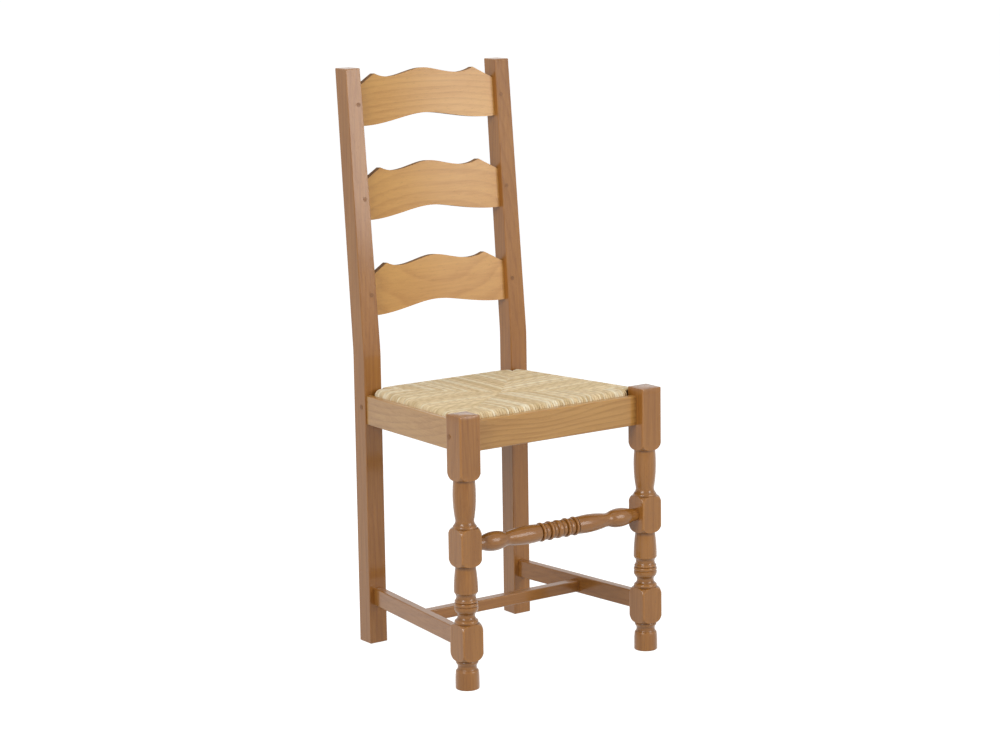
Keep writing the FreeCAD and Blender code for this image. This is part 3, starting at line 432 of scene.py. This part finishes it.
class Turning:
    """Half outline of a turned piece as (radius, place) stations, and the square blocks that it leaves."""

    def __init__(self, radius, place, square=None, arris=0.0):
        self.square = square
        self.arris = arris
        self.angles = self.directions()
        self.rings = [[(radius, place)] * len(self.angles)]

    def directions(self):
        """Angles round the axis, with extra ones at the arrises of a square blank."""
        if self.square is None:
            return [2 * math.pi * step / POINTS_AROUND for step in range(POINTS_AROUND)]
        half = self.square / 2
        turned = math.atan2(half - self.arris, half)
        eighth = [turned * step / FACE_STEPS for step in range(FACE_STEPS + 1)]
        rounded = math.pi / 2 - 2 * turned
        corner = [turned + rounded * step / ARRIS_STEPS for step in range(1, ARRIS_STEPS)]
        quarter = eighth + corner + [math.pi / 2 - angle for angle in reversed(eighth)][:-1]
        return [angle + side * math.pi / 2 for side in range(4) for angle in quarter]

    def blank_reach(self, angle):
        """Distance from the axis to the surface of the square blank, its arrises rounded."""
        half = self.square / 2
        off = abs((angle + math.pi / 4) % (math.pi / 2) - math.pi / 4)
        if off <= math.atan2(half - self.arris, half) + 1e-9:
            return half / math.cos(off)
        centre = (half - self.arris) * math.sqrt(2)
        turn = math.pi / 4 - off
        return centre * math.cos(turn) + math.sqrt(self.arris ** 2 - (centre * math.sin(turn)) ** 2)

    def here(self):
        """Radius and place of the last station."""
        return self.rings[-1][0]

    def station(self, radius, place):
        """A full ring of points."""
        self.rings.append([(radius, place)] * len(self.angles))

    def line(self, radius, place):
        """Straight cut, with a station close to each end so that its corners stay crisp."""
        start_radius, start = self.here()
        for share in (0.12, 0.5, 0.88, 1.0):
            self.station(start_radius + (radius - start_radius) * share, start + (place - start) * share)

    def bow(self, middle_radius, middle_place, radius, place, steps):
        """Round cut through a middle point: a bead, a cove or a long swell."""
        start, middle, end = self.here(), (middle_radius, middle_place), (radius, place)
        centre_x, centre_y = circle_through(start, middle, end)
        reach = math.hypot(start[0] - centre_x, start[1] - centre_y)
        first, halfway, last = [math.atan2(y - centre_y, x - centre_x) for x, y in (start, middle, end)]
        turn = (last - first) % (2 * math.pi)
        if (halfway - first) % (2 * math.pi) > turn:
            turn -= 2 * math.pi
        for step in range(1, steps + 1):
            angle = first + turn * step / steps
            self.station(centre_x + reach * math.cos(angle), centre_y + reach * math.sin(angle))

    def block(self, full_low, full_high, radius, place, open_top=False):
        """A block left square, between the rounded shoulders that the gouge cuts into it."""
        start_radius, start = self.here()
        corner = self.square / math.sqrt(2)
        low_rings = [[] for _ in range(SHOULDER_RINGS)]
        middle_shares = (0.02, 0.1, 0.3, 0.5, 0.7, 0.9, 1.0)
        middle_rings = [[] for _ in middle_shares]
        high_rings = [[] for _ in range(SHOULDER_RINGS)]

        def turn_at(end_radius, reach):
            """How far the shoulder's quarter ellipse turns before it meets the blank's surface."""
            return math.asin(min(1.0, (reach - end_radius) / (corner - end_radius)))

        def shoulder(end_radius, end, full, turn):
            """A point of that quarter ellipse, which starts at a turned end."""
            return (end_radius + (corner - end_radius) * math.sin(turn),
                    end + (full - end) * (1 - math.cos(turn)))

        for angle in self.angles:
            reach = self.blank_reach(angle)
            low_turn = turn_at(start_radius, reach)
            low_edge = shoulder(start_radius, start, full_low, low_turn)[1]
            for step, ring in enumerate(low_rings):
                ring.append(shoulder(start_radius, start, full_low, low_turn * (step + 1) / SHOULDER_RINGS))
            high_edge = place
            if not open_top:
                high_turn = turn_at(radius, reach)
                high_edge = shoulder(radius, place, full_high, high_turn)[1]
                for step, ring in enumerate(reversed(high_rings)):
                    ring.append(shoulder(radius, place, full_high, high_turn * step / SHOULDER_RINGS))
            for ring, share in zip(middle_rings, middle_shares):
                ring.append((reach, low_edge + (high_edge - low_edge) * share))
        self.rings += low_rings + middle_rings
        if not open_top:
            self.rings += high_rings

    def chamfered_end(self, width):
        """Eases the last ring's arris and ends the piece there."""
        last = self.rings.pop()
        self.rings.append([(radius, place - width) for radius, place in last])
        self.rings.append([(radius - 0.3 * width, place - 0.3 * width) for radius, place in last])
        self.rings.append([(radius - width, place) for radius, place in last])

    def marks(self, column, radius, angle, place):
        """How recessed and how worn a point is among those above and below it, each from 0 to 1."""
        near = [other_radius for other_radius, other in column if abs(other - place) < MARK_REACH]
        recess = min(1.0, max(0.0, (max(near) - radius) / MARK_REACH))
        if self.square and radius > self.square / 2 * 1.3:
            if abs((angle % (math.pi / 2)) - math.pi / 4) < WORN_ARRIS:
                return recess, 1.0
        return recess, min(1.0, max(0.0, (radius - min(near)) / 5.0 - 0.25))

    def mesh(self, name, spot):
        """The mesh, with its recesses and worn edges marked. spot(radius, angle, place) gives each point."""
        columns = list(zip(*self.rings))
        vertices, marks = [], []
        for ring in self.rings:
            for turn, (radius, place) in enumerate(ring):
                vertices.append(spot(radius, self.angles[turn], place))
                marks.append(self.marks(columns[turn], radius, self.angles[turn], place))
        around = len(self.angles)
        faces = []
        for ring in range(len(self.rings) - 1):
            for step in range(around):
                after = (step + 1) % around
                faces.append((ring * around + step, ring * around + after,
                              (ring + 1) * around + after, (ring + 1) * around + step))
        last = (len(self.rings) - 1) * around
        for end, start in ((0, 0), (1, last)):
            middle = len(vertices)
            vertices.append(spot(0.0, 0.0, self.rings[-end][0][1]))
            marks.append((0.0, 0.0))
            for step in range(around):
                after = (step + 1) % around
                pair = (start + step, start + after) if end else (start + after, start + step)
                faces.append((*pair, middle))
        made = bpy.data.meshes.new(name)
        made.from_pydata(vertices, [], faces)
        for mark, levels in zip(("recess", "wear"), zip(*marks)):
            made.attributes.new(mark, "FLOAT", "POINT").data.foreach_set("value", levels)
        made.shade_smooth()
        made.set_sharp_from_angle(angle=TURNED_ARRIS_ANGLE)
        return made


def leg_turning():
    """A front leg from the floor up: foot, three square blocks, cup and rings, and two vases between them."""
    cut = Turning(20.4, 0.0, LEG_SQUARE, LEG_ARRIS)
    cut.line(21.4, 1.2)
    cut.line(21.4, 16.0)
    cut.bow(21.2, 24.0, 20.5, 31.5, 8)
    cut.bow(19.9, 33.6, 18.3, 35.2, 6)
    cut.bow(17.0, 40.6, 19.2, 46.4, 10)
    cut.bow(20.1, 48.4, 20.0, 50.6, 6)
    cut.line(19.4, 52.0)
    cut.block(71.0, 101.0, 20.8, 119.0)
    cut.bow(21.2, 122.0, 20.2, 125.0, 8)
    cut.bow(15.5, 131.5, 17.9, 139.0, 12)
    cut.bow(20.5, 143.0, 21.3, 148.8, 8)
    cut.line(19.9, 150.2)
    cut.bow(21.4, 153.4, 20.4, 156.4, 8)
    cut.line(19.0, 157.1)
    cut.bow(20.3, 159.4, 19.3, 161.6, 7)
    cut.bow(17.3, 168.5, 20.4, 174.6, 10)
    cut.bow(21.2, 176.0, 21.3, 177.6, 5)
    cut.bow(20.2, 204.0, 18.4, 219.5, 12)
    cut.line(18.4, 223.0)
    cut.block(240.0, 275.0, 21.3, 291.5)
    cut.bow(21.4, 293.6, 20.6, 295.6, 6)
    cut.bow(18.0, 299.2, 16.6, 304.6, 8)
    cut.bow(20.6, 351.0, 19.3, 376.0, 22)
    cut.line(19.3, 377.5)
    cut.block(396.0, LEG_HEIGHT, 0.0, LEG_HEIGHT, open_top=True)
    cut.chamfered_end(1.2)
    return cut


def spindle_turning():
    """The turned front stretcher, from its left end to its right end."""
    half = Turning(16.4, 0.0)
    half.bow(15.9, 3.6, 13.4, 5.4, 6)
    for disc in (18.5, 37.0):
        near = half.here()[1]
        far = disc - 2.6
        half.bow(15.3, (near + far) / 2, 13.2, far, 9)
        half.line(16.4, disc - 2.3)
        half.bow(17.3, disc, 16.4, disc + 2.3, 6)
        half.line(13.2, disc + 2.7)
    half.line(13.6, 41.2)
    half.bow(14.9, 41.8, 15.5, 43.4, 5)
    half.bow(16.5, 57.0, 13.4, 103.0, 20)
    half.bow(12.6, 110.2, 13.4, 117.2, 8)
    half.bow(17.4, 139.2, 13.0, 163.2, 22)
    half.bow(11.9, 170.0, 11.5, LEG_INNER, 8)
    half.line(9.0, LEG_INNER + 0.4)
    half.line(9.0, LEG_INNER + 12.0)
    other = [[(radius, -place) for radius, place in ring] for ring in reversed(half.rings[1:])]
    half.rings = other + half.rings
    return half


def new_piece(name, mesh, material, slot_name, *replaced):
    """Puts a finished mesh into the scene as a piece, which may stand for nodes of the frame."""
    piece = bpy.data.objects.new(name, mesh)
    bpy.context.scene.collection.objects.link(piece)
    piece.data.materials.clear()
    piece.data.materials.append(material)
    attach(piece, "root")
    if replaced:
        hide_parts(*replaced)
    return piece


leg_profile = leg_turning()
for side, side_name in ((-1, "left"), (1, "right")):
    leg_mesh = leg_profile.mesh(f"turned_leg_{side_name}", lambda radius, angle, place: (
        (side * LEG_X + radius * math.cos(angle)) * MM, (LEG_Y + radius * math.sin(angle)) * MM, place * MM))
    new_piece(f"turned_leg_{side_name}", leg_mesh, post_wood, "stained_wood", f"front_leg_{side_name}")

spindle_mesh = spindle_turning().mesh("turned_spindle", lambda radius, angle, place: (
    place * MM, (LEG_Y + radius * math.cos(angle)) * MM, (SPINDLE_HEIGHT + radius * math.sin(angle)) * MM))
new_piece("turned_spindle", spindle_mesh, spindle_wood, "stained_wood", "turned_front_stretcher")


# Rush seat

def crest_level(y):
    """Height of the seat's crest at a given Y."""
    along = (y - RUSH_FRONT) / (RUSH_BACK - RUSH_FRONT)
    return RUSH_CREST_FRONT + (RUSH_CREST_BACK - RUSH_CREST_FRONT) * along


def rush_edge_x(y):
    """X of the seat's outer edge on the right side."""
    along = (y - RUSH_FRONT) / (RUSH_BACK - RUSH_FRONT)
    return RUSH_FRONT_X + (RUSH_BACK_X - RUSH_FRONT_X) * along


def strand_path(run, to_middle, spot, chance):
    """Points of one strand: in along the underside, round its bar, then over the top to the seam.

    run is how far the seam is from the edge, and to_middle how far the middle of the seat is.
    spot(inward, below) gives a point so far in from the edge and so far below the crest.
    """
    skin = STRAND_RADIUS
    roll = RUSH_ROLL - skin
    proud = chance.uniform(-EDGE_WANDER, EDGE_WANDER)
    seam = run + chance.uniform(-SEAM_WANDER, SEAM_WANDER)

    def sink(inward):
        """How far the top lies below the crest."""
        share = max(0.0, (inward - RUSH_CROWN_START) / (to_middle - RUSH_CROWN_START))
        return RUSH_SINK * share ** 1.7

    low = RUSH_THICKNESS - skin
    path = [(max(seam - 2.0, 9.0), low - 1.5), (max(seam - 9.0, 7.5), low), (5.5, low),
            (skin + 0.5 - proud, low - 3.2), (skin - proud, RUSH_ROLL)]
    for turn in (0.28, 0.56, 0.8):
        angle = turn * math.pi / 2
        path.append((RUSH_ROLL - roll * math.cos(angle) - proud * (1 - turn),
                     RUSH_ROLL - roll * math.sin(angle)))
    top = RUSH_ROLL + 1.5
    path.append((top, skin))
    settle = max(top + 1.0, seam - 8.0)
    for share in (0.35, 0.7):
        inward = top + (settle - top) * share
        path.append((inward, skin + sink(inward) + chance.uniform(-TOP_WANDER, TOP_WANDER)))
    path.append((settle, skin + sink(settle) + 0.2))
    path.append((max(settle + 1.0, seam - 1.0), skin + sink(seam) + 0.9))
    path.append((max(settle + 2.0, seam + 2.4), skin + sink(seam) + 3.6))
    return [spot(inward, below) for inward, below in path]


def rush_strands():
    """All strands of the seat, as lists of points in millimetres, one run of them on each side."""
    chance = random.Random(7)
    strands = []

    def places(low, high):
        """Where the strands between two limits lie, nearly evenly."""
        count = round((high - low) / STRAND_PITCH)
        return [low + (high - low) * step / count + chance.uniform(-PITCH_WANDER, PITCH_WANDER)
                for step in range(count + 1)]

    def drawn_in(place, low, high):
        """How far the strands near a leg or post draw in from the edge, which rounds the seat's corners."""
        near = min(place - low, high - place)
        return CORNER_DRAW * max(0.0, 1 - near / CORNER_REACH) ** 2

    front_depth = RUSH_CENTRE_Y - RUSH_FRONT
    back_depth = RUSH_BACK - RUSH_CENTRE_Y
    for x in places(-FRONT_NOTCH_X + STRAND_RADIUS, FRONT_NOTCH_X - STRAND_RADIUS):
        edge = RUSH_FRONT + drawn_in(x, -FRONT_NOTCH_X, FRONT_NOTCH_X)
        run = RUSH_CENTRE_Y - front_depth * abs(x) / RUSH_FRONT_X - edge
        strands.append(strand_path(run, front_depth, lambda inward, below: (
            x, edge + inward, crest_level(edge + inward) - below), chance))
    for x in places(-BACK_NOTCH_X + STRAND_RADIUS, BACK_NOTCH_X - STRAND_RADIUS):
        edge = RUSH_BACK - drawn_in(x, -BACK_NOTCH_X, BACK_NOTCH_X)
        run = edge - RUSH_CENTRE_Y - back_depth * abs(x) / RUSH_BACK_X
        strands.append(strand_path(run, back_depth, lambda inward, below: (
            x, edge - inward, crest_level(edge - inward) - below), chance))
    for side in (-1, 1):
        for y in places(FRONT_NOTCH_Y + STRAND_RADIUS, BACK_NOTCH_Y - STRAND_RADIUS):
            edge = rush_edge_x(y) - drawn_in(y, FRONT_NOTCH_Y, BACK_NOTCH_Y)
            if y < RUSH_CENTRE_Y:
                seam_x = RUSH_FRONT_X * (RUSH_CENTRE_Y - y) / front_depth
            else:
                seam_x = RUSH_BACK_X * (y - RUSH_CENTRE_Y) / back_depth
            strands.append(strand_path(edge - seam_x, edge, lambda inward, below: (
                side * (edge - inward), y, crest_level(y) - below), chance))
    return strands


def strand_tree():
    """Turns guide lines into rush strands: thickness, tone and twist, with closed ends."""
    inputs = {"Guides": "Geometry", "Strand radius": "Float", "Unevenness": "Float", "Sides": "Int",
              "Seed": "Int", "Finish": "Material"}
    group, tree, given = new_group("rush_strands", inputs, "Strands")
    index = tree.node("GeometryNodeCurveOfPoint", None, (), "Curve Index")
    chance = tree.node("FunctionNodeRandomValue", {"data_type": "FLOAT"},
                       {"ID": index, "Seed": given.output("Seed")}, 1)
    cluster_place = tree.node("ShaderNodeCombineXYZ", None, [index * 0.16, 0.0, 0.0])
    cluster = tree.noise(cluster_place, 1.0, 0.5)
    tone = chance * 0.6 + cluster.between(0.3, 0.7) * 0.4
    length = tree.node("GeometryNodeSplineParameter", None, (), "Length")
    lumps_place = tree.node("ShaderNodeCombineXYZ", None, [length * 45.0, index * 3.7, 0.0])
    lumps = (tree.noise(lumps_place, 1.0, 0.5) - 0.5) * given.output("Unevenness") + 1.0
    sized = tree.node("GeometryNodeSetCurveRadius", None, {"Curve": given, "Radius": lumps})
    toned = tree.node("GeometryNodeStoreNamedAttribute", {"data_type": "FLOAT", "domain": "POINT"},
                      {"Geometry": sized, "Name": "strand_tone", "Value": tone})
    measured = tree.node("GeometryNodeStoreNamedAttribute", {"data_type": "FLOAT", "domain": "POINT"},
                         {"Geometry": toned, "Name": "strand_length", "Value": length})
    ring = tree.node("GeometryNodeCurvePrimitiveCircle", {"mode": "RADIUS"},
                     {"Resolution": given.output("Sides"), "Radius": given.output("Strand radius")})
    place = tree.node("GeometryNodeInputPosition")
    outward = tree.node("ShaderNodeVectorMath", {"operation": "NORMALIZE"}, [place])
    marked = tree.node("GeometryNodeStoreNamedAttribute", {"data_type": "FLOAT_VECTOR", "domain": "POINT"},
                       {"Geometry": ring, "Name": "around", "Value": outward})
    swept = tree.node("GeometryNodeCurveToMesh", None,
                      {"Curve": measured, "Profile Curve": marked, "Fill Caps": True})
    tree.drive(swept.socket.node, {"Scale": tree.node("GeometryNodeInputRadius")})
    smooth = tree.node("GeometryNodeSetShadeSmooth", {"domain": "FACE"},
                       {"Geometry": swept, "Shade Smooth": True})
    real = tree.node("GeometryNodeRealizeInstances", None, {"Geometry": smooth})
    dressed = tree.node("GeometryNodeSetMaterial", None,
                        {"Geometry": real, "Material": given.output("Finish")})
    tree.drive(group.nodes.new("NodeGroupOutput"), {0: dressed})
    return group


def woven_rush():
    """The strands of the whole seat as one mesh."""
    guides = bpy.data.curves.new("rush_guides", "CURVE")
    guides.dimensions = "3D"
    for path in rush_strands():
        spline = guides.splines.new("POLY")
        spline.points.add(len(path) - 1)
        for point, (x, y, z) in zip(spline.points, path):
            point.co = (x * MM, y * MM, z * MM, 1.0)
    maker = bpy.data.objects.new("rush_guides", guides)
    bpy.context.scene.collection.objects.link(maker)
    weaving = maker.modifiers.new("rush_strands", "NODES")
    weaving.node_group = strand_tree()
    set_modifier_inputs(weaving, strand_radius=STRAND_RADIUS * MM, unevenness=0.3, sides=STRAND_SIDES, seed=3,
                        finish=rush_straw)
    depsgraph = bpy.context.evaluated_depsgraph_get()
    woven = bpy.data.meshes.new_from_object(maker.evaluated_get(depsgraph), depsgraph=depsgraph)
    bpy.data.objects.remove(maker)
    bpy.data.curves.remove(guides)
    woven.name = "rush_weave"
    return woven


def packed_rush():
    """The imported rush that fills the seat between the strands: the seat's solid, drawn in a little."""
    core = bmesh.new()
    core.from_mesh(nodes["rush_seat"].data)
    bmesh.ops.remove_doubles(core, verts=core.verts, dist=SAME_POINT)
    bmesh.ops.recalc_face_normals(core, faces=core.faces)
    core.normal_update()
    for vertex, normal in [(vertex, vertex.normal.copy()) for vertex in core.verts]:
        vertex.co -= normal * PACKING_INSET * MM
    made = bpy.data.meshes.new("rush_packing")
    core.to_mesh(made)
    core.free()
    return made


new_piece("rush_weave", woven_rush(), rush_straw, "rush", "rush_seat")
new_piece("rush_packing", packed_rush(), rush_packed, "rush")


# Floor, light and camera

FLOOR_REACH = 60.0
AMBIENT = 0.3


def seen_directly(tree):
    """1 for rays from the camera and its reflections, 0 for the light that falls on things."""
    ray = tree.node("ShaderNodeLightPath")
    return (ray + ray.output("Is Glossy Ray") + ray.output("Is Transmission Ray")).math("MINIMUM", 1.0)


def white_seen_directly(name, lit):
    """A white ground that takes light and shadow but is plain white to the camera and in reflections."""
    material = bpy.data.materials.new(name)
    material.use_nodes = True
    given = material.node_tree.nodes
    given.remove(given["Principled BSDF"])
    tree = Tree(material.node_tree)
    strength = seen_directly(tree) * (1 - lit)
    glow = tree.node("ShaderNodeEmission", None, {"Color": WHITE, "Strength": strength})
    matt = tree.node("ShaderNodeBsdfDiffuse", None, {"Color": colour(0.5, 0.5, 0.5)})
    tree.drive(given["Material Output"], {"Surface": tree.node("ShaderNodeAddShader", None, [glow, matt])})
    return material


floor_mesh = bpy.data.meshes.new("studio_floor")
corners = [(x * FLOOR_REACH, y * FLOOR_REACH, 0) for x, y in ((-1, -1), (1, -1), (1, 1), (-1, 1))]
floor_mesh.from_pydata(corners, [], [(0, 1, 2, 3)])
floor = bpy.data.objects.new("studio_floor", floor_mesh)
bpy.context.scene.collection.objects.link(floor)
floor_mesh.materials.append(white_seen_directly("studio_white", 0.12))

world = bpy.data.worlds.new("studio")
bpy.context.scene.world = world
world.use_nodes = True
sky = Tree(world.node_tree)
background = world.node_tree.nodes["Background"]
background.inputs["Color"].default_value = WHITE
sky.drive(background, {"Strength": seen_directly(sky) * (1 - AMBIENT) + AMBIENT})


def lamp(name, place, target, width, height, watts):
    """A soft box of light turned towards a target."""
    light = bpy.data.lights.new(name, "AREA")
    light.shape = "RECTANGLE"
    light.size = width
    light.size_y = height
    light.energy = watts
    holder = bpy.data.objects.new(name, light)
    holder.location = place
    holder.rotation_euler = (Vector(target) - Vector(place)).to_track_quat("-Z", "Y").to_euler()
    bpy.context.scene.collection.objects.link(holder)


lamp("front_soft_box", (1.5, -3.3, 1.7), (0.0, 0.0, 0.6), 1.6, 2.0, 56.0)
lamp("left_soft_box", (-3.0, -1.2, 2.2), (0.0, 0.0, 0.5), 1.4, 1.8, 58.0)
lamp("top_soft_box", (0.2, 0.4, 3.4), (0.0, 0.0, 0.4), 2.0, 2.0, 18.0)

# Camera, set where the photograph was taken from
CAMERA_PLACE = (-2.8837, -4.1035, 1.4509)
CAMERA_YAW = 35.2915
CAMERA_PITCH = -10.6246
CAMERA_ROLL = -0.8620
CAMERA_LENS = 100.151
yaw, pitch, roll = [math.radians(angle) for angle in (CAMERA_YAW, CAMERA_PITCH, CAMERA_ROLL)]
ahead = Vector((math.sin(yaw) * math.cos(pitch), math.cos(yaw) * math.cos(pitch), math.sin(pitch)))
level_right = Vector((math.cos(yaw), -math.sin(yaw), 0.0))
level_up = level_right.cross(ahead)
right = level_right * math.cos(roll) + level_up * math.sin(roll)
up = level_up * math.cos(roll) - level_right * math.sin(roll)
lens = bpy.data.cameras.new("camera")
lens.sensor_fit = "HORIZONTAL"
lens.sensor_width = 36.0
lens.lens = CAMERA_LENS
lens.clip_end = 100.0
camera = bpy.data.objects.new("camera", lens)
camera.matrix_world = Matrix.Translation(CAMERA_PLACE) @ Matrix((right, up, -ahead)).transposed().to_4x4()
bpy.context.scene.collection.objects.link(camera)
bpy.context.scene.camera = camera
bpy.context.scene.view_settings.view_transform = "Standard"
